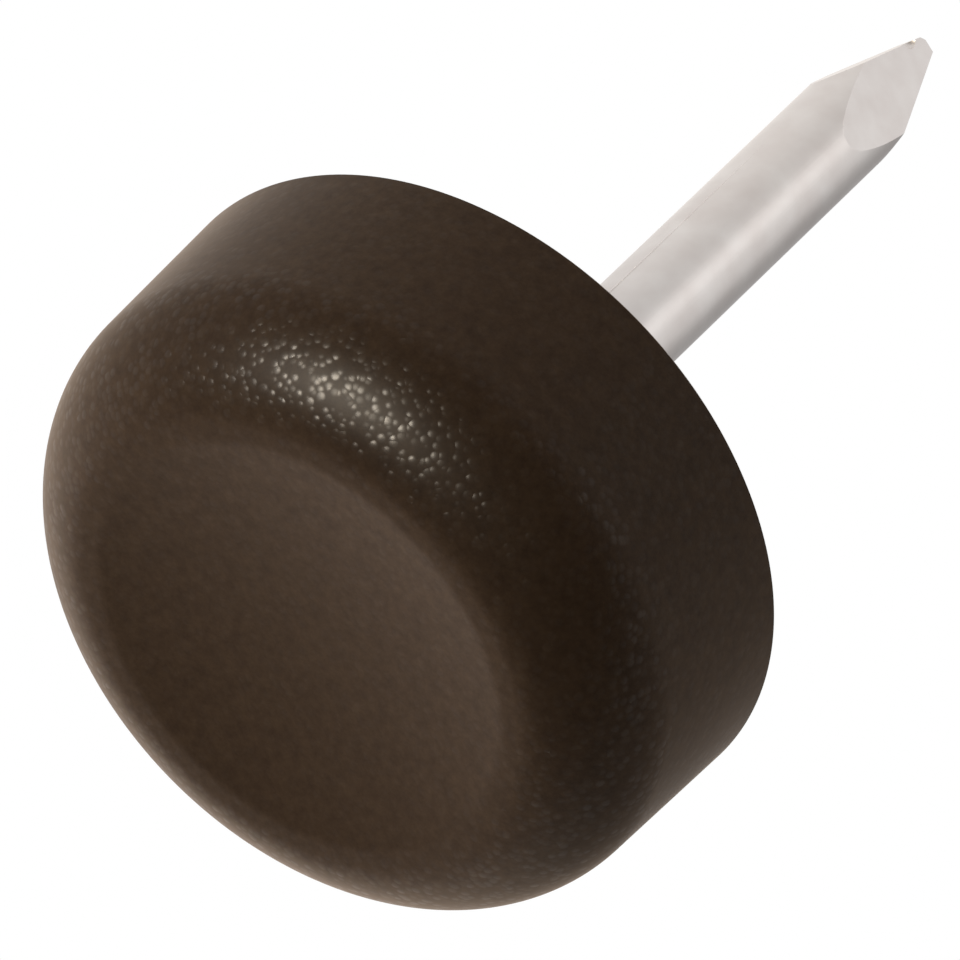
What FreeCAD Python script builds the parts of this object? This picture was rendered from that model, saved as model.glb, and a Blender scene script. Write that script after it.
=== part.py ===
"""Nail-on furniture glide: a dished brown pad moulded round the head of a steel wire nail.

The glide stands on its glide face at z = 0, with the nail pointing up along +Z, as it is driven into a leg.
"""
import FreeCAD, Part
import math
import os

from FreeCAD import Vector

# Pad: driving dimensions in millimetres and degrees
PAD_DIAMETER = 19.0        # at the seat, which bears on the end of the leg
PAD_HEIGHT = 7.7           # floor to seat
WALL_DRAFT = 2.0           # mould draft: the side wall narrows towards the glide face
SEAT_EDGE_BREAK = 0.12     # chamfer of the crisp edge at the seat
SHOULDER_HEIGHT = 2.9      # where the wall runs into the full, rounded shoulder
SHOULDER_WALL_PULL = 1.25  # how far the shoulder follows the wall, and the lip, before it turns
SHOULDER_LIP_PULL = 1.15
SHOULDER_LIP_SLOPE = 19.0  # slope at which the shoulder meets the lip
LAND_DIAMETER = 12.9       # middle of the narrow flat ring that touches the floor
LAND_WIDTH = 0.3
LIP_RADIUS = 2.0           # rounds the lip on both sides of the land
DISH_DEPTH = 0.5           # hollow of the glide face inside the land

# Nail: driving dimensions
SHANK_DIAMETER = 2.8
NAIL_REACH = 22.6          # seat to tip
HEAD_DIAMETER = 6.4
HEAD_RIM = 0.8             # thickness of the head at its edge
HEAD_CONE = 0.7            # height of the cone between head and shank
HEAD_COVER = 2.6           # floor to the flat top of the head, which lies downwards
GRIP_COUNT = 3             # rolled rings that key the shank into the moulding
GRIP_PITCH = 1.0
GRIP_WIDTH = 0.7
GRIP_DEPTH = 0.22

# Pinched point: direction about Z, lean off the axis and distance from the axis at the tip, of each flat
POINT_FLATS = (
    (270.0, 11.5, 0.25),
    (180.0, 14.5, 0.33),
    (90.0, 15.0, 0.25),
    (0.0, 15.5, 0.19),
    (163.0, 45.0, 0.12),   # chipped corner of the tip
)

# Worked out from the driving dimensions
PAD_RADIUS = PAD_DIAMETER / 2
SHANK_RADIUS = SHANK_DIAMETER / 2
TIP_HEIGHT = PAD_HEIGHT + NAIL_REACH
LAND_INNER_RADIUS = (LAND_DIAMETER - LAND_WIDTH) / 2
LAND_OUTER_RADIUS = (LAND_DIAMETER + LAND_WIDTH) / 2
DISH_SLOPE = 2 * math.atan(DISH_DEPTH / LAND_INNER_RADIUS)
ARC_SHARES = (0, 0.5, 1)   # an arc is drawn through its start, its middle and its end
LENGTH_TOLERANCE = 1e-4


def section_point(radius, height):
    """Point of a half section, which is turned about the Z axis."""
    return Vector(radius, 0, height)


def turned(edges):
    """Solid turned once round the Z axis from the edges of a closed half section."""
    face = Part.Face(Part.Wire(edges))
    return face.revolve(Vector(0, 0, 0), Vector(0, 0, 1), 360)


def straight_run(points):
    """Straight edges from each point to the next."""
    return [Part.LineSegment(start, end).toShape() for start, end in zip(points, points[1:])]


def dish_arc():
    """Hollow of the glide face, from the axis out to the lip, which it meets without an edge."""
    ball_radius = LAND_INNER_RADIUS / math.sin(DISH_SLOPE) - LIP_RADIUS
    ball_centre = DISH_DEPTH - ball_radius
    points = []
    for share in ARC_SHARES:
        angle = share * DISH_SLOPE
        points.append(section_point(ball_radius * math.sin(angle), ball_centre + ball_radius * math.cos(angle)))
    return Part.Arc(*points).toShape()


def lip_arc(land_edge, side, slope, shares):
    """Rounding beside the land, up to a slope; side is -1 towards the axis and 1 away from it."""
    points = []
    for share in shares:
        angle = share * slope
        radius = land_edge + side * LIP_RADIUS * math.sin(angle)
        points.append(section_point(radius, LIP_RADIUS * (1 - math.cos(angle))))
    return Part.Arc(*points).toShape()


def shoulder_curve(lip_end, lip_slope):
    """Full shoulder from the lip up to the wall, tangent to both."""
    draft = math.radians(WALL_DRAFT)
    wall_radius = PAD_RADIUS - (PAD_HEIGHT - SHOULDER_HEIGHT) * math.tan(draft)
    wall_end = section_point(wall_radius, SHOULDER_HEIGHT)
    along_lip = section_point(math.cos(lip_slope), math.sin(lip_slope))
    along_wall = section_point(math.sin(draft), math.cos(draft))
    curve = Part.BezierCurve()
    curve.setPoles([
        lip_end,
        lip_end + along_lip * SHOULDER_LIP_PULL,
        wall_end - along_wall * SHOULDER_WALL_PULL,
        wall_end,
    ])
    return curve.toShape()


def pad_blank():
    """Pad turned from its half section, with the seat's edge broken."""
    lip_slope = math.radians(SHOULDER_LIP_SLOPE)
    inner_lip = lip_arc(LAND_INNER_RADIUS, -1, DISH_SLOPE, reversed(ARC_SHARES))
    land = straight_run([section_point(LAND_INNER_RADIUS, 0), section_point(LAND_OUTER_RADIUS, 0)])
    outer_lip = lip_arc(LAND_OUTER_RADIUS, 1, lip_slope, ARC_SHARES)
    shoulder = shoulder_curve(outer_lip.lastVertex().Point, lip_slope)
    wall_and_seat = straight_run([
        shoulder.lastVertex().Point,
        section_point(PAD_RADIUS, PAD_HEIGHT),
        section_point(0, PAD_HEIGHT),
        section_point(0, DISH_DEPTH),
    ])
    blank = turned([dish_arc(), inner_lip] + land + [outer_lip, shoulder] + wall_and_seat)
    seat_edge = [edge for edge in blank.Edges if is_circle(edge, PAD_RADIUS, PAD_HEIGHT)]
    return blank.makeChamfer(SEAT_EDGE_BREAK, seat_edge)


def is_circle(edge, radius, height):
    """Whether an edge is a circle of that radius at that height."""
    if edge.Degenerated or not isinstance(edge.Curve, Part.Circle):
        return False
    same_radius = abs(edge.Curve.Radius - radius) < LENGTH_TOLERANCE
    same_height = abs(edge.Curve.Center.z - height) < LENGTH_TOLERANCE
    return same_radius and same_height


def moulded_pad(nail):
    """Pad moulded tightly round the nail's head and grip rings."""
    return pad_blank().cut(nail).Solids[0]


def grip_rings():
    """Section points of the V-shaped rings, from the lowest up to the one that ends at the seat."""
    lowest = PAD_HEIGHT - (GRIP_COUNT - 1) * GRIP_PITCH - GRIP_WIDTH
    points = []
    for index in range(GRIP_COUNT):
        foot = lowest + index * GRIP_PITCH
        points += [
            section_point(SHANK_RADIUS, foot),
            section_point(SHANK_RADIUS - GRIP_DEPTH, foot + GRIP_WIDTH / 2),
            section_point(SHANK_RADIUS, foot + GRIP_WIDTH),
        ]
    return points


def point_cutter(direction, lean, tip_offset):
    """Block whose inner side is one flat of the point: it leans away from the axis below the tip."""
    size = 2 * NAIL_REACH
    block = Part.makeBox(size, size, size, Vector(0, -size / 2, -size / 2))
    block.rotate(Vector(0, 0, 0), Vector(0, 1, 0), -lean)
    block.translate(Vector(tip_offset, 0, TIP_HEIGHT))
    block.rotate(Vector(0, 0, 0), Vector(0, 0, 1), direction)
    return block


def wire_nail():
    """Wire nail, head down: flat head with a conical underside, grip rings, plain shank, pinched point."""
    head_edge = HEAD_DIAMETER / 2
    head = [
        section_point(0, HEAD_COVER),
        section_point(head_edge, HEAD_COVER),
        section_point(head_edge, HEAD_COVER + HEAD_RIM),
        section_point(SHANK_RADIUS, HEAD_COVER + HEAD_RIM + HEAD_CONE),
    ]
    shank = [
        section_point(SHANK_RADIUS, TIP_HEIGHT),
        section_point(0, TIP_HEIGHT),
        section_point(0, HEAD_COVER),
    ]
    nail = turned(straight_run(head + grip_rings() + shank))
    for flat in POINT_FLATS:
        nail = nail.cut(point_cutter(*flat))
    return nail.Solids[0]


def main():
    """Build the nail, mould the pad round it and write both solids."""
    nail = wire_nail()
    pad = moulded_pad(nail)
    os.makedirs("parts", exist_ok=True)
    for name, solid in (("glide_pad", pad), ("nail", nail)):
        print(name, "valid", solid.isValid(), "volume", round(solid.Volume, 2), "mm3")
        solid.exportStep("parts/" + name + ".step")


main()
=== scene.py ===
"""Looks of a nail-on furniture glide: a brown moulded pad on a steel wire nail, in a plain studio.

All sizes are in millimetres and angles in degrees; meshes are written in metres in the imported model's frame.
"""
import logging
import math
from dataclasses import dataclass, field
from enum import Enum

import bpy
from mathutils import Matrix, Vector


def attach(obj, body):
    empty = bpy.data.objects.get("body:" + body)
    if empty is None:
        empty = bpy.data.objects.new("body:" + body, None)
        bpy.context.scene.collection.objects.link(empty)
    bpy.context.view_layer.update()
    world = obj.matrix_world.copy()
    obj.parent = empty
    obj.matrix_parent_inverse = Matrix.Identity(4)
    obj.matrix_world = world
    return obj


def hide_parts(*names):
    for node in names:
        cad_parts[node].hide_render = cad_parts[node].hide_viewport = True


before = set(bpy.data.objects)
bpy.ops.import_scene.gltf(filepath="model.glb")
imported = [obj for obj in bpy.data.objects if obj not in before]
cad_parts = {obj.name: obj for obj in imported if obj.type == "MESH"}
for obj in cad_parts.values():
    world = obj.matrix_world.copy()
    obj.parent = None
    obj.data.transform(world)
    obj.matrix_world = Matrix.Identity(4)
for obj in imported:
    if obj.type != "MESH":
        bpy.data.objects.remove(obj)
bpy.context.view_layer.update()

MM = 0.001
MERGE_DISTANCE = 1e-7
DOME_POWER = 2.0           # the square of the distance from its middle makes a pip a round dome
MIX_COLOUR_A = 6           # sockets of a mix node that carry colours; their names occur more than once
MIX_COLOUR_B = 7
MIX_COLOUR_RESULT = 2
Z_AXIS = Vector((0.0, 0.0, 1.0))
Section = list[tuple[float, float]]
LOG = logging.getLogger("furniture_glide")


class CadNode(Enum):
    """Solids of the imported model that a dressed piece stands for."""

    PAD = "glide_pad"
    NAIL = "nail"


class Slot(Enum):
    """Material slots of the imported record."""

    PLASTIC = "brown_plastic"
    STEEL = "drawn_steel"


class LipSide(Enum):
    """Side of the land on which a rounding of the lip lies."""

    TOWARDS_AXIS = -1
    AWAY_FROM_AXIS = 1


def linear(colour: str) -> tuple[float, float, float, float]:
    """Turn an sRGB hex colour into linear red, green, blue and alpha.

    Args:
        colour: six hex digits after a hash sign.

    Returns:
        Linear channels from 0 to 1, with alpha 1.
    """
    channels = [int(colour[start:start + 2], 16) / 255 for start in (1, 3, 5)]
    curve = [c / 12.92 if c <= 0.04045 else ((c + 0.055) / 1.055) ** 2.4 for c in channels]
    return curve[0], curve[1], curve[2], 1.0


def per_metre(size_mm: float) -> float:
    """Texture scale at which one cell of a pattern has this size."""
    return 1 / (size_mm * MM)


def add_node(
    tree: bpy.types.NodeTree, kind: str, inputs: dict[str | int, object] | None = None, **settings: object,
) -> bpy.types.Node:
    """Add a node, set it up and link it.

    Args:
        tree: node tree that gets the node.
        kind: type of the node.
        inputs: value, or output socket to link, for each input by its name or number.
        settings: attributes of the node.

    Returns:
        The new node.
    """
    node = tree.nodes.new(kind)
    for name, value in settings.items():
        setattr(node, name, value)
    for name, value in (inputs or {}).items():
        if isinstance(value, bpy.types.NodeSocket):
            tree.links.new(value, node.inputs[name])
        else:
            node.inputs[name].default_value = value
    return node


def add_math(
    tree: bpy.types.NodeTree, operation: str,
    first: bpy.types.NodeSocket, second: bpy.types.NodeSocket | float,
) -> bpy.types.NodeSocket:
    """Add a node that works out one number from two.

    Args:
        tree: node tree that gets the node.
        operation: what is done with the two numbers.
        first: socket that carries the first number.
        second: second number, or the socket that carries it.

    Returns:
        Output that carries the result.
    """
    return add_node(tree, "ShaderNodeMath", {0: first, 1: second}, operation=operation).outputs[0]


def add_spread(
    tree: bpy.types.NodeTree, chance: bpy.types.NodeSocket, levels: tuple[float, float],
) -> bpy.types.NodeSocket:
    """Spread a random number from 0 to 1 evenly between two levels.

    Args:
        tree: node tree that gets the node.
        chance: socket that carries the random number.
        levels: lowest and highest level.

    Returns:
        Output that carries the level.
    """
    low, high = levels
    spread = add_node(tree, "ShaderNodeMapRange", {"Value": chance, "To Min": low, "To Max": high})
    return spread.outputs[0]


def add_ramp(
    tree: bpy.types.NodeTree, value: bpy.types.NodeSocket,
    span: tuple[float, float], levels: tuple[float, float],
) -> bpy.types.NodeSocket:
    """Add a ramp that goes softly from one level to another.

    Args:
        tree: node tree that gets the node.
        value: socket that drives the ramp.
        span: values at which the ramp starts and ends.
        levels: level at its start and at its end.

    Returns:
        Output that carries the level.
    """
    ramp = add_node(
        tree, "ShaderNodeMapRange",
        {"Value": value, "From Min": span[0], "From Max": span[1], "To Min": levels[0], "To Max": levels[1]},
        interpolation_type="SMOOTHSTEP",
    )
    return ramp.outputs[0]


def empty_material(name: str) -> bpy.types.Material:
    """Make a material whose node tree is still empty.

    Args:
        name: name of the material.

    Returns:
        The new material.
    """
    material = bpy.data.materials.new(name)
    material.use_nodes = True
    material.node_tree.nodes.clear()
    return material


@dataclass(frozen=True)
class Mottle:
    """Soft clouds of a second colour in the first."""

    colour: str
    cloudy_colour: str
    size_mm: float
    detail: float
    roughness: float

    def add_to(self, tree: bpy.types.NodeTree, place: bpy.types.NodeSocket) -> bpy.types.NodeSocket:
        """Add the clouds to a material.

        Args:
            tree: node tree of the material.
            place: position on the piece.

        Returns:
            Output that carries the colour.
        """
        clouds = add_node(
            tree, "ShaderNodeTexNoise",
            {"Vector": place, "Scale": per_metre(self.size_mm), "Detail": self.detail,
             "Roughness": self.roughness},
        )
        mix = add_node(
            tree, "ShaderNodeMix",
            {"Factor": clouds.outputs["Fac"], MIX_COLOUR_A: linear(self.colour),
             MIX_COLOUR_B: linear(self.cloudy_colour)},
            data_type="RGBA",
        )
        return mix.outputs[MIX_COLOUR_RESULT]


@dataclass(frozen=True)
class MouldedPolyethylene:
    """Brown polyethylene from a spark-eroded mould.

    The mould leaves small smooth pips on a satin skin. Each pip mirrors the lamp as a dot, so the highlight
    breaks up into dots, with a soft haze between them.
    """

    name: str = "brown_polyethylene_spark_eroded"
    # Pigment that isn't quite evenly mixed gives the brown a fine, faint grain.
    mottle: Mottle = Mottle("#503D2B", "#2A1C13", size_mm=0.4, detail=3.0, roughness=0.8)
    # Satin skin between the pips: a weak, wide reflection.
    haze: float = 0.04
    haze_roughness: float = 0.42
    # The finely rough skin catches grazing light, so the rims look paler than the face.
    bloom: float = 0.23
    bloom_roughness: float = 0.4
    bloom_tint: str = "#FFDDBB"
    # Pips about as far apart as the dots in the photo. They differ in rise and gloss, so some dots are faint.
    pip_mm: float = 0.25
    pip_height_mm: float = 0.050
    pip_rise: tuple[float, float] = (0.6, 1.6)
    pip_gloss: tuple[float, float] = (0.02, 0.21)
    pip_roughness: float = 0.31
    pip_ior: float = 1.51
    # Gloss fades between these distances from a pip's middle, in cells, so that no creases show.
    pip_radius: tuple[float, float] = (0.30, 0.65)
    # The glide face and the wall keep only this share of the gloss, and look plainer than the shoulder.
    quiet_share: float = 0.30
    face_radius: tuple[float, float] = (6.0, 7.4)
    wall_foot: tuple[float, float] = (2.2, 3.6)

    def material(self) -> bpy.types.Material:
        """Build the material.

        Returns:
            The material.
        """
        material = empty_material(self.name)
        tree = material.node_tree
        place = add_node(tree, "ShaderNodeTexCoord").outputs["Object"]
        cells = add_node(tree, "ShaderNodeTexVoronoi", {"Vector": place, "Scale": per_metre(self.pip_mm)})
        chance = add_node(tree, "ShaderNodeSeparateColor", {0: cells.outputs["Color"]})
        from_middle = cells.outputs["Distance"]
        rise = add_spread(tree, chance.outputs["Red"], self.pip_rise)
        dome = add_math(tree, "MULTIPLY", add_math(tree, "POWER", from_middle, DOME_POWER), rise)
        skin = add_node(
            tree, "ShaderNodeBump", {"Height": dome, "Distance": self.pip_height_mm * MM}, invert=True,
        )
        spark = add_spread(tree, chance.outputs["Green"], self.pip_gloss)
        top = add_ramp(tree, from_middle, self.pip_radius, (1.0, 0.0))
        dots = add_math(tree, "MULTIPLY", spark, top)
        gloss = add_math(tree, "MULTIPLY", dots, self.gloss_share(tree, place))
        # Light that comes back from inside the plastic is soft, so the relief shows only in the gloss.
        shader = add_node(
            tree, "ShaderNodeBsdfPrincipled",
            {"Base Color": self.mottle.add_to(tree, place), "Roughness": self.haze_roughness,
             "Specular IOR Level": self.haze, "Sheen Weight": self.bloom,
             "Sheen Roughness": self.bloom_roughness, "Sheen Tint": linear(self.bloom_tint),
             "Coat Weight": gloss, "Coat Roughness": self.pip_roughness, "Coat IOR": self.pip_ior,
             "Coat Normal": skin.outputs["Normal"]},
        )
        add_node(tree, "ShaderNodeOutputMaterial", {"Surface": shader.outputs["BSDF"]})
        return material

    def gloss_share(self, tree: bpy.types.NodeTree, place: bpy.types.NodeSocket) -> bpy.types.NodeSocket:
        """Leave the pips' full gloss on the shoulder, and little on the face and the wall.

        Args:
            tree: node tree that gets the nodes.
            place: position on the pad.

        Returns:
            Output that carries the share.
        """
        flat = add_node(tree, "ShaderNodeVectorMath", {0: place, 1: (1.0, 1.0, 0.0)}, operation="MULTIPLY")
        radius = add_node(tree, "ShaderNodeVectorMath", {0: flat.outputs[0]}, operation="LENGTH")
        height = add_node(tree, "ShaderNodeSeparateXYZ", {0: place})
        face_start, face_end = self.face_radius
        off_face = add_ramp(
            tree, radius.outputs["Value"], (face_start * MM, face_end * MM), (self.quiet_share, 1.0),
        )
        wall_start, wall_end = self.wall_foot
        off_wall = add_ramp(
            tree, height.outputs["Z"], (wall_start * MM, wall_end * MM), (1.0, self.quiet_share),
        )
        return add_math(tree, "MINIMUM", off_face, off_wall)


@dataclass(frozen=True)
class DrawnSteelWire:
    """Bright steel wire as drawn through a die, dulled by handling.

    It gives the eye soft bands of light along the shank, with faint warm clouds in them.
    """

    name: str = "steel_wire_drawn_dull"
    # Thin oxide makes the clouds.
    mottle: Mottle = Mottle("#DFDBD8", "#C5BCB8", size_mm=1.3, detail=3.0, roughness=0.55)
    # A dulled skin smears what it mirrors.
    roughness: float = 0.40
    # Lines that the die drew along the wire spread reflections across it.
    line_mm: float = 0.05
    line_stretch: float = 40.0
    line_height_mm: float = 0.002
    line_detail: float = 2.0

    def material(self) -> bpy.types.Material:
        """Build the material.

        Returns:
            The material.
        """
        material = empty_material(self.name)
        tree = material.node_tree
        place = add_node(tree, "ShaderNodeTexCoord").outputs["Object"]
        along = add_node(
            tree, "ShaderNodeMapping", {"Vector": place, "Scale": (1.0, 1.0, 1 / self.line_stretch)},
        )
        lines = add_node(
            tree, "ShaderNodeTexNoise",
            {"Vector": along.outputs["Vector"], "Scale": per_metre(self.line_mm),
             "Detail": self.line_detail},
        )
        bump = add_node(
            tree, "ShaderNodeBump",
            {"Height": lines.outputs["Fac"], "Strength": 1.0, "Distance": self.line_height_mm * MM},
        )
        shader = add_node(
            tree, "ShaderNodeBsdfPrincipled",
            {"Base Color": self.mottle.add_to(tree, place), "Metallic": 1.0, "Roughness": self.roughness,
             "Normal": bump.outputs["Normal"]},
        )
        add_node(tree, "ShaderNodeOutputMaterial", {"Surface": shader.outputs["BSDF"]})
        return material


class TurnedPiece:
    """A piece that is turned about the Z axis from its half section."""

    def turn(self, name: str, section: Section, steps: int) -> bpy.types.Object:
        """Draw the half section point by point and spin it once round the axis.

        Args:
            name: name of the piece.
            section: radius and height of each point, from pole to pole.
            steps: number of facets round the axis.

        Returns:
            The closed piece, in object mode.
        """
        points = [Vector((radius * MM, 0.0, height * MM)) for radius, height in section]
        bpy.ops.object.select_all(action="DESELECT")
        bpy.ops.mesh.primitive_plane_add(size=MM)
        piece = bpy.context.object
        piece.name = name
        piece.data.name = name
        bpy.ops.object.mode_set(mode="EDIT")
        bpy.ops.mesh.select_all(action="SELECT")
        bpy.ops.mesh.merge(type="CENTER")
        bpy.ops.transform.translate(value=points[0])
        for start, end in zip(points, points[1:]):
            bpy.ops.mesh.extrude_vertices_move(TRANSFORM_OT_translate={"value": end - start})
        bpy.ops.mesh.select_all(action="SELECT")
        bpy.ops.mesh.spin(steps=steps, angle=math.tau, center=(0, 0, 0), axis=Z_AXIS)
        bpy.ops.mesh.select_all(action="SELECT")
        bpy.ops.mesh.remove_doubles(threshold=MERGE_DISTANCE)
        bpy.ops.mesh.normals_make_consistent(inside=False)
        bpy.ops.object.mode_set(mode="OBJECT")
        return piece

    def hand_over(self, piece: bpy.types.Object, node: CadNode, slot: Slot) -> None:
        """Let a finished piece stand for its solid.

        Args:
            piece: the dressed piece.
            node: solid that it replaces.
            slot: material slot that its finish belongs to; not used.
        """
        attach(piece, "root")
        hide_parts(node.value)
        piece.data.calc_loop_triangles()
        LOG.info("%s stands for %s, %d triangles", piece.name, node.value, len(piece.data.loop_triangles))


@dataclass
class WireNail(TurnedPiece):
    """Wire nail, head down: flat head, grip rings in the moulding, plain shank and pinched point."""

    finish: DrawnSteelWire = field(default_factory=DrawnSteelWire)
    seat_height: float = 7.7
    reach: float = 22.6
    shank_diameter: float = 2.8
    head_diameter: float = 6.4
    head_rim: float = 0.8
    head_cone: float = 0.7
    head_cover: float = 2.6
    grip_count: int = 3
    grip_pitch: float = 1.0
    grip_width: float = 0.7
    grip_depth: float = 0.22
    facets: int = 160
    smooth_angle: float = 30.0
    # Rings of the shank below the tip, which the flats cut through.
    point_foot: float = 23.9
    point_rings: int = 52
    # Chip in the edge of the tip: where a small ball is cut out, its depth below the tip and its radius.
    nick_direction: float = 217.5
    nick_offset: float = 0.81
    nick_depth: float = 0.65
    nick_radius: float = 0.35
    nick_subdivisions: int = 3
    # Die line: its heights, its width, and how far it rises out of the wire, as a share of its width.
    die_line_direction: float = 203.0
    die_line_span: tuple[float, float] = (8.2, 23.6)
    die_line_width: float = 0.10
    die_line_fade: float = 0.42
    die_line_sides: int = 6
    # Direction about Z, lean off the axis and distance from it at the tip, of each flat; a chip comes last.
    point_flats: tuple[tuple[float, float, float], ...] = (
        (270.0, 11.5, 0.25),
        (180.0, 14.5, 0.33),
        (90.0, 15.0, 0.25),
        (0.0, 15.5, 0.19),
        (163.0, 45.0, 0.12),
    )

    @property
    def shank_radius(self) -> float:
        """Radius of the wire."""
        return self.shank_diameter / 2

    @property
    def tip_height(self) -> float:
        """Height of the blunt tip above the floor."""
        return self.seat_height + self.reach

    def head_section(self) -> Section:
        """Half section of the head and grip rings.

        Returns:
            Points from the head's flat top up to the seat.
        """
        rim = self.head_diameter / 2
        points = [
            (0.0, self.head_cover),
            (rim, self.head_cover),
            (rim, self.head_cover + self.head_rim),
            (self.shank_radius, self.head_cover + self.head_rim + self.head_cone),
        ]
        lowest = self.seat_height - (self.grip_count - 1) * self.grip_pitch - self.grip_width
        for index in range(self.grip_count):
            foot = lowest + index * self.grip_pitch
            points += [
                (self.shank_radius, foot),
                (self.shank_radius - self.grip_depth, foot + self.grip_width / 2),
                (self.shank_radius, foot + self.grip_width),
            ]
        return points

    def cut_flat(self, outward: Vector, lean: float, corner: Vector) -> None:
        """Cut one flat across the whole nail, in edit mode.

        Args:
            outward: level direction that the flat faces.
            lean: how far it leans up from that direction, in degrees.
            corner: point of the flat, in millimetres.
        """
        tilt = math.radians(lean)
        bpy.ops.mesh.select_all(action="SELECT")
        bpy.ops.mesh.bisect(
            plane_co=corner * MM, plane_no=outward * math.cos(tilt) + Z_AXIS * math.sin(tilt),
            use_fill=True, clear_outer=True, threshold=MERGE_DISTANCE,
        )

    def pinch_point(self) -> None:
        """Cut the flats of the point, in edit mode."""
        tip = Z_AXIS * self.tip_height
        for direction, lean, offset in self.point_flats:
            turn = math.radians(direction)
            outward = Vector((math.cos(turn), math.sin(turn), 0.0))
            self.cut_flat(outward, lean, outward * offset + tip)

    def cut_away(self, nail: bpy.types.Object, cutter: bpy.types.Object) -> None:
        """Take a cutter's form out of the nail and throw the cutter away.

        Args:
            nail: piece that is cut.
            cutter: closed form that reaches into it.
        """
        bpy.ops.object.select_all(action="DESELECT")
        nail.select_set(True)
        bpy.context.view_layer.objects.active = nail
        bpy.ops.object.modifier_add(type="BOOLEAN")
        cut = nail.modifiers[-1]
        cut.operation = "DIFFERENCE"
        cut.solver = "EXACT"
        cut.object = cutter
        bpy.ops.object.modifier_apply(modifier=cut.name)
        bpy.data.objects.remove(cutter)

    def nick_tip(self, nail: bpy.types.Object) -> None:
        """Chip the edge of the blunt tip.

        Args:
            nail: piece that is chipped.
        """
        turn = math.radians(self.nick_direction)
        place = (
            self.nick_offset * math.cos(turn) * MM,
            self.nick_offset * math.sin(turn) * MM,
            (self.tip_height - self.nick_depth) * MM,
        )
        bpy.ops.object.select_all(action="DESELECT")
        bpy.ops.mesh.primitive_ico_sphere_add(
            subdivisions=self.nick_subdivisions, radius=self.nick_radius * MM, location=place,
        )
        self.cut_away(nail, bpy.context.object)

    def score_die_line(self, nail: bpy.types.Object) -> None:
        """Score the line that a worn die left along the wire.

        Args:
            nail: piece that is scored.
        """
        turn = math.radians(self.die_line_direction)
        start, end = self.die_line_span
        rise = self.die_line_fade * self.die_line_width
        lean = math.atan(rise / (end - start))
        reach = self.shank_radius + rise / 2
        place = (reach * math.cos(turn) * MM, reach * math.sin(turn) * MM, (start + end) / 2 * MM)
        bpy.ops.object.select_all(action="DESELECT")
        bpy.ops.mesh.primitive_cylinder_add(
            vertices=self.die_line_sides, radius=self.die_line_width / 2 * MM, depth=(end - start) * MM,
            location=place, rotation=(0.0, lean, turn),
        )
        self.cut_away(nail, bpy.context.object)

    def build(self) -> bpy.types.Object:
        """Turn the nail, pinch its point, and give it the marks of its making.

        Returns:
            The nail's object.
        """
        step = (self.tip_height - self.point_foot) / self.point_rings
        rings = [(self.shank_radius, self.point_foot + step * ring) for ring in range(self.point_rings + 1)]
        section = self.head_section() + rings + [(0.0, self.tip_height)]
        nail = self.turn("wire_nail", section, self.facets)
        bpy.ops.object.mode_set(mode="EDIT")
        self.pinch_point()
        bpy.ops.object.mode_set(mode="OBJECT")
        self.nick_tip(nail)
        self.score_die_line(nail)
        bpy.ops.object.shade_smooth_by_angle(angle=math.radians(self.smooth_angle))
        bpy.ops.object.modifier_add(type="WEIGHTED_NORMAL")
        weigh = nail.modifiers[-1]
        weigh.keep_sharp = True
        bpy.ops.object.modifier_apply(modifier=weigh.name)
        return nail

    def dress(self, nail: bpy.types.Object) -> None:
        """Give the nail its finish and let it stand for its solid."""
        nail.data.materials.append(self.finish.material())
        self.hand_over(nail, CadNode.NAIL, Slot.STEEL)


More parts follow.
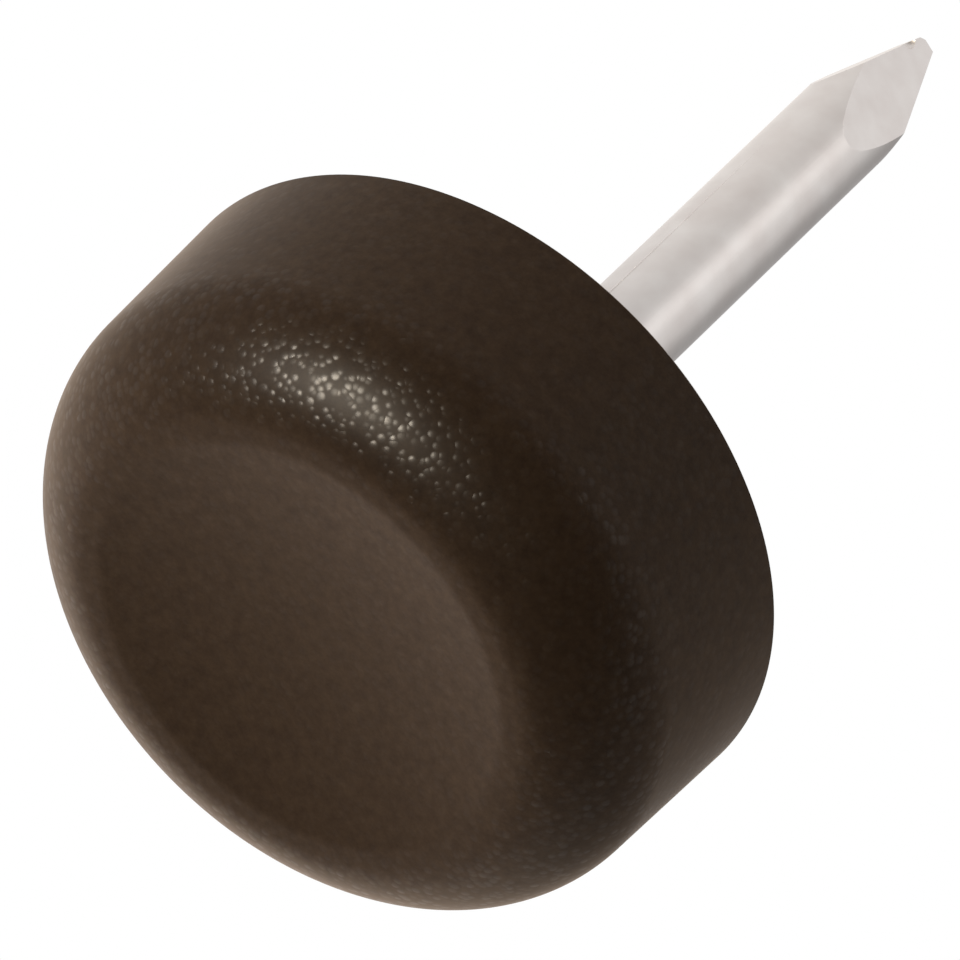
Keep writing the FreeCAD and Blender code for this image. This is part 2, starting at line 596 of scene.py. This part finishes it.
@dataclass
class GlidePad(TurnedPiece):
    """Moulded pad: dished glide face, rounded lip, full shoulder, drafted wall, flat seat round the nail."""

    nail: WireNail
    finish: MouldedPolyethylene = field(default_factory=MouldedPolyethylene)
    diameter: float = 19.0
    height: float = 7.7
    wall_draft: float = 2.0
    seat_edge_break: float = 0.12
    shoulder_height: float = 2.9
    shoulder_wall_pull: float = 1.25
    shoulder_lip_pull: float = 1.15
    shoulder_lip_slope: float = 19.0
    land_diameter: float = 12.9
    land_width: float = 0.3
    lip_radius: float = 2.0
    dish_depth: float = 0.5
    facets: int = 256
    dish_rings: int = 24
    lip_rings: int = 8
    shoulder_rings: int = 40
    wall_rings: int = 12
    smooth_angle: float = 30.0

    @property
    def land_inner(self) -> float:
        """Inner radius of the ring that touches the floor."""
        return (self.land_diameter - self.land_width) / 2

    @property
    def dish_slope(self) -> float:
        """Slope of the dish where it meets the lip, in radians."""
        return 2 * math.atan(self.dish_depth / self.land_inner)

    def dish_section(self) -> Section:
        """Half section of the hollow glide face.

        Returns:
            Points from its middle out to the lip.
        """
        ball = self.land_inner / math.sin(self.dish_slope) - self.lip_radius
        angles = [self.dish_slope * ring / self.dish_rings for ring in range(self.dish_rings + 1)]
        return [(ball * math.sin(a), self.dish_depth - ball * (1 - math.cos(a))) for a in angles]

    def lip_section(self, land_edge: float, slope: float, side: LipSide) -> Section:
        """Half section of the rounding beside the land, from the axis outwards.

        Args:
            land_edge: radius at which the rounding leaves the land.
            slope: slope at its other end, in radians.
            side: side of the land on which it lies.

        Returns:
            Points with growing radius.
        """
        angles = [slope * ring / self.lip_rings for ring in range(self.lip_rings + 1)]
        points = [
            (land_edge + side.value * self.lip_radius * math.sin(a), self.lip_radius * (1 - math.cos(a)))
            for a in angles
        ]
        return points if side is LipSide.AWAY_FROM_AXIS else points[::-1]

    def shoulder_section(self, start: tuple[float, float]) -> Section:
        """Half section of the full shoulder, from the lip up to the wall.

        Args:
            start: last point of the lip.

        Returns:
            Points after the start, up to the foot of the wall.
        """
        draft = math.radians(self.wall_draft)
        slope = math.radians(self.shoulder_lip_slope)
        end = (
            self.diameter / 2 - (self.height - self.shoulder_height) * math.tan(draft),
            self.shoulder_height,
        )
        poles = (
            Vector(start),
            Vector(start) + Vector((math.cos(slope), math.sin(slope))) * self.shoulder_lip_pull,
            Vector(end) - Vector((math.sin(draft), math.cos(draft))) * self.shoulder_wall_pull,
            Vector(end),
        )
        points = []
        for ring in range(1, self.shoulder_rings + 1):
            share = ring / self.shoulder_rings
            rest = 1 - share
            weights = (rest ** 3, 3 * rest ** 2 * share, 3 * rest * share ** 2, share ** 3)
            point = sum((pole * weight for pole, weight in zip(poles, weights)), Vector((0.0, 0.0)))
            points.append((point.x, point.y))
        return points

    def wall_section(self, foot: tuple[float, float]) -> Section:
        """Half section of the drafted wall and the broken edge of the seat.

        Args:
            foot: last point of the shoulder.

        Returns:
            Points after the foot, up to the seat's edge.
        """
        edge = self.diameter / 2
        brow = Vector((edge, self.height)) - Vector(
            (math.tan(math.radians(self.wall_draft)), 1.0)
        ) * self.seat_edge_break
        steps = [ring / self.wall_rings for ring in range(1, self.wall_rings + 1)]
        rise = [Vector(foot).lerp(brow, share) for share in steps]
        return [(point.x, point.y) for point in rise] + [(edge - self.seat_edge_break, self.height)]

    def build(self) -> bpy.types.Object:
        """Turn the pad with the cavity that the nail's head and rings fill.

        Returns:
            The pad's object.
        """
        land_outer = self.land_inner + self.land_width
        slope = math.radians(self.shoulder_lip_slope)
        section = self.dish_section()
        section += self.lip_section(self.land_inner, self.dish_slope, LipSide.TOWARDS_AXIS)[1:]
        section += self.lip_section(land_outer, slope, LipSide.AWAY_FROM_AXIS)
        section += self.shoulder_section(section[-1])
        section += self.wall_section(section[-1])
        section += self.nail.head_section()[::-1]
        pad = self.turn("moulded_pad", section, self.facets)
        bpy.ops.object.shade_smooth_by_angle(angle=math.radians(self.smooth_angle))
        return pad

    def dress(self, pad: bpy.types.Object) -> None:
        """Give the pad its finish and let it stand for its solid."""
        pad.data.materials.append(self.finish.material())
        self.hand_over(pad, CadNode.PAD, Slot.PLASTIC)


@dataclass(frozen=True)
class Softbox:
    """A square soft lamp that faces the object."""

    name: str
    towards: tuple[float, float, float]
    distance: float
    side: float
    watts: float
    colour: str = "#FFFFFF"
    mirrored: bool = True
    diffused: bool = True

    def place(self, aim: Vector) -> None:
        """Hang the lamp.

        Args:
            aim: point that it faces, in metres.
        """
        lamp = bpy.data.lights.new(self.name, "AREA")
        lamp.size = self.side * MM
        lamp.energy = self.watts
        lamp.color = linear(self.colour)[:3]
        box = bpy.data.objects.new(self.name, lamp)
        box.visible_glossy = self.mirrored
        box.visible_diffuse = self.diffused
        bpy.context.scene.collection.objects.link(box)
        direction = Vector(self.towards).normalized()
        box.location = aim + direction * self.distance * MM
        box.rotation_euler = direction.to_track_quat("Z", "Y").to_euler()


@dataclass
class PhotoCamera:
    """Long lens below the glide face, rolled so that the nail points up to the right."""

    distance: float = 320.0
    aim: tuple[float, float, float] = (-1.0828, -3.9139, 4.8082)
    lens: float = 472.84
    sensor: float = 36.0
    picture_right: tuple[float, float, float] = (0.524981, -0.652735, 0.546197)
    picture_up: tuple[float, float, float] = (-0.821689, -0.221415, 0.525169)

    def place(self) -> None:
        """Make the scene's camera."""
        data = bpy.data.cameras.new("photo_camera")
        data.lens = self.lens
        data.sensor_width = self.sensor
        camera = bpy.data.objects.new("photo_camera", data)
        bpy.context.scene.collection.objects.link(camera)
        right = Vector(self.picture_right).normalized()
        up = Vector(self.picture_up).normalized()
        back = right.cross(up)
        turn = Matrix((right, up, back)).transposed().to_4x4()
        camera.matrix_world = Matrix.Translation((Vector(self.aim) + back * self.distance) * MM) @ turn
        bpy.context.scene.camera = camera


@dataclass(frozen=True)
class WorldLobe:
    """Level of the world that changes softly about one direction."""

    towards: tuple[float, float, float]
    span: tuple[float, float]
    levels: tuple[float, float]

    def add_to(self, tree: bpy.types.NodeTree, direction: bpy.types.NodeSocket) -> bpy.types.NodeSocket:
        """Add the lobe to the world.

        Args:
            tree: node tree of the world.
            direction: direction that is looked in.

        Returns:
            Output that carries the level.
        """
        cosine = add_node(
            tree, "ShaderNodeVectorMath", {0: direction, 1: Vector(self.towards).normalized()},
            operation="DOT_PRODUCT",
        )
        return add_ramp(tree, cosine.outputs["Value"], self.span, self.levels)


@dataclass
class Studio:
    """Pale floor under the glide, soft lamps, and a white sweep behind the object."""

    floor_side: float = 900.0
    floor_gap: float = 0.02
    floor_colour: str = "#F4F3F1"
    # White sweep behind the object, which fades to a dim room on the camera's side.
    sweep: WorldLobe = WorldLobe((0.232, 0.538, 0.811), span=(-0.40, 0.15), levels=(0.02, 1.0))
    # Darker part of the sweep, on the right.
    shade: WorldLobe = WorldLobe((0.862, 0.281, 0.421), span=(0.70, 0.97), levels=(1.0, 0.40))
    # Key light, the highlight on the shoulder, the streak along the nail, and light on the far rim.
    lamps: tuple[Softbox, ...] = (
        Softbox("key_softbox", (-0.698, -0.01, -0.716), 200.0, 75.0, 0.20),
        Softbox("glint_softbox", (-0.658, -0.19, -0.729), 190.0, 80.0, 1.5, "#FFF3DE", diffused=False),
        Softbox("streak_softbox", (0.146, -0.744, 0.653), 200.0, 80.0, 0.017, diffused=False),
        Softbox("rim_softbox", (0.14, 0.98, -0.12), 900.0, 675.0, 13.2, mirrored=False),
    )
    aim: tuple[float, float, float] = (0.0, 0.0, 6.0)

    def lay_floor(self) -> None:
        """Lay the floor, which is seen from above only and holds no light back."""
        bpy.ops.object.select_all(action="DESELECT")
        bpy.ops.mesh.primitive_plane_add(size=self.floor_side * MM, location=(0, 0, -self.floor_gap * MM))
        floor = bpy.context.object
        floor.name = "studio_floor"
        material = empty_material("pale_studio_floor")
        tree = material.node_tree
        paint = add_node(tree, "ShaderNodeBsdfDiffuse", {"Color": linear(self.floor_colour)})
        clear = add_node(tree, "ShaderNodeBsdfTransparent")
        side = add_node(tree, "ShaderNodeNewGeometry")
        mix = add_node(
            tree, "ShaderNodeMixShader",
            {0: side.outputs["Backfacing"], 1: paint.outputs[0], 2: clear.outputs[0]},
        )
        add_node(tree, "ShaderNodeOutputMaterial", {"Surface": mix.outputs[0]})
        floor.data.materials.append(material)
        floor.visible_diffuse = False
        floor.visible_glossy = False
        floor.visible_transmission = False
        floor.visible_shadow = False

    def light_world(self) -> None:
        """Show the camera plain white, and light the object by the sweep behind it and a dim room."""
        world = bpy.data.worlds.new("white_sweep")
        world.use_nodes = True
        bpy.context.scene.world = world
        tree = world.node_tree
        tree.nodes.clear()
        path = add_node(tree, "ShaderNodeLightPath")
        direction = add_node(tree, "ShaderNodeTexCoord").outputs["Generated"]
        level = add_math(
            tree, "MULTIPLY", self.sweep.add_to(tree, direction), self.shade.add_to(tree, direction),
        )
        seen = add_math(tree, "MAXIMUM", level, path.outputs["Is Camera Ray"])
        backdrop = add_node(
            tree, "ShaderNodeBackground", {"Color": (1.0, 1.0, 1.0, 1.0), "Strength": seen},
        )
        add_node(tree, "ShaderNodeOutputWorld", {"Surface": backdrop.outputs[0]})

    def build(self) -> None:
        """Lay the floor, hang the lamps and light the world."""
        self.lay_floor()
        self.light_world()
        for lamp in self.lamps:
            lamp.place(Vector(self.aim) * MM)
            LOG.info("lamp %s", lamp.name)


def main() -> None:
    """Build the nail, the pad, the studio and the camera."""
    logging.basicConfig(level=logging.INFO)
    nail = WireNail()
    nail.dress(nail.build())
    pad = GlidePad(nail)
    pad.dress(pad.build())
    Studio().build()
    PhotoCamera().place()
    bpy.context.scene.view_settings.view_transform = "Standard"


if __name__ == "__main__":
    main()
